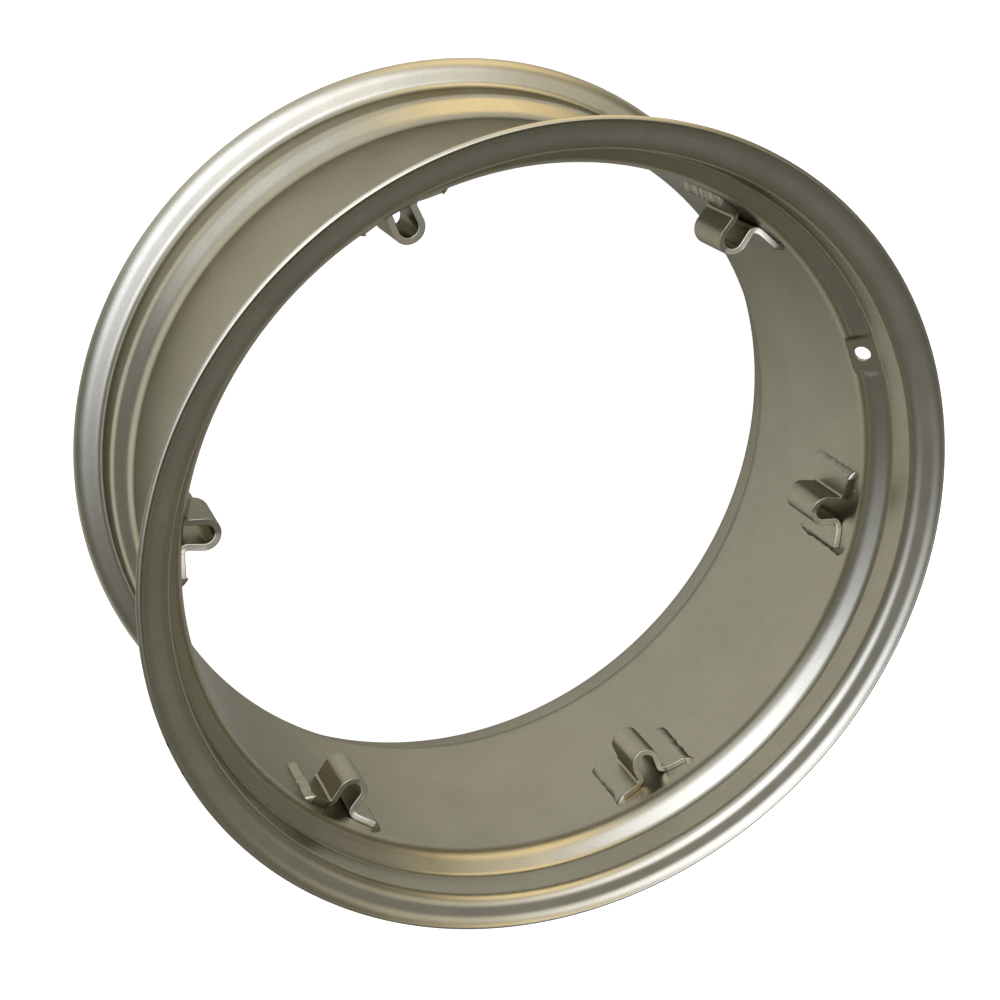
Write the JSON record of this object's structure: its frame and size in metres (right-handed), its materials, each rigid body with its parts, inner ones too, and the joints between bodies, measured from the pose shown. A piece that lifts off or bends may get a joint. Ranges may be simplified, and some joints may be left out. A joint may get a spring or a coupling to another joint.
{
  "type": "tractor wheel rim",
  "caption": "Wide steel tractor wheel rim with bead seats and flanges, bent strap loops welded inside the well for disc bolts, and a pressed valve pad.",
  "frame": {"origin": "centre of the wheel, on its axis midway between the two lips", "axes": "+Z along the wheel axis towards the front, the side that the loops are nearer to; +X through the valve hole"},
  "size_m": [0.762, 0.7618, 0.3236],
  "materials": {
    "silver_paint": "satin"
  },
  "bodies": {
    "root": {"rim_band": "silver_paint", "loop_1": "silver_paint", "weld_left_1": "silver_paint", "weld_right_1": "silver_paint", "loop_2": "silver_paint", "weld_left_2": "silver_paint", "weld_right_2": "silver_paint", "loop_3": "silver_paint", "weld_left_3": "silver_paint", "weld_right_3": "silver_paint", "loop_4": "silver_paint", "weld_left_4": "silver_paint", "weld_right_4": "silver_paint", "loop_5": "silver_paint", "weld_left_5": "silver_paint", "weld_right_5": "silver_paint", "loop_6": "silver_paint", "weld_left_6": "silver_paint", "weld_right_6": "silver_paint"}
  },
  "joints": []
}
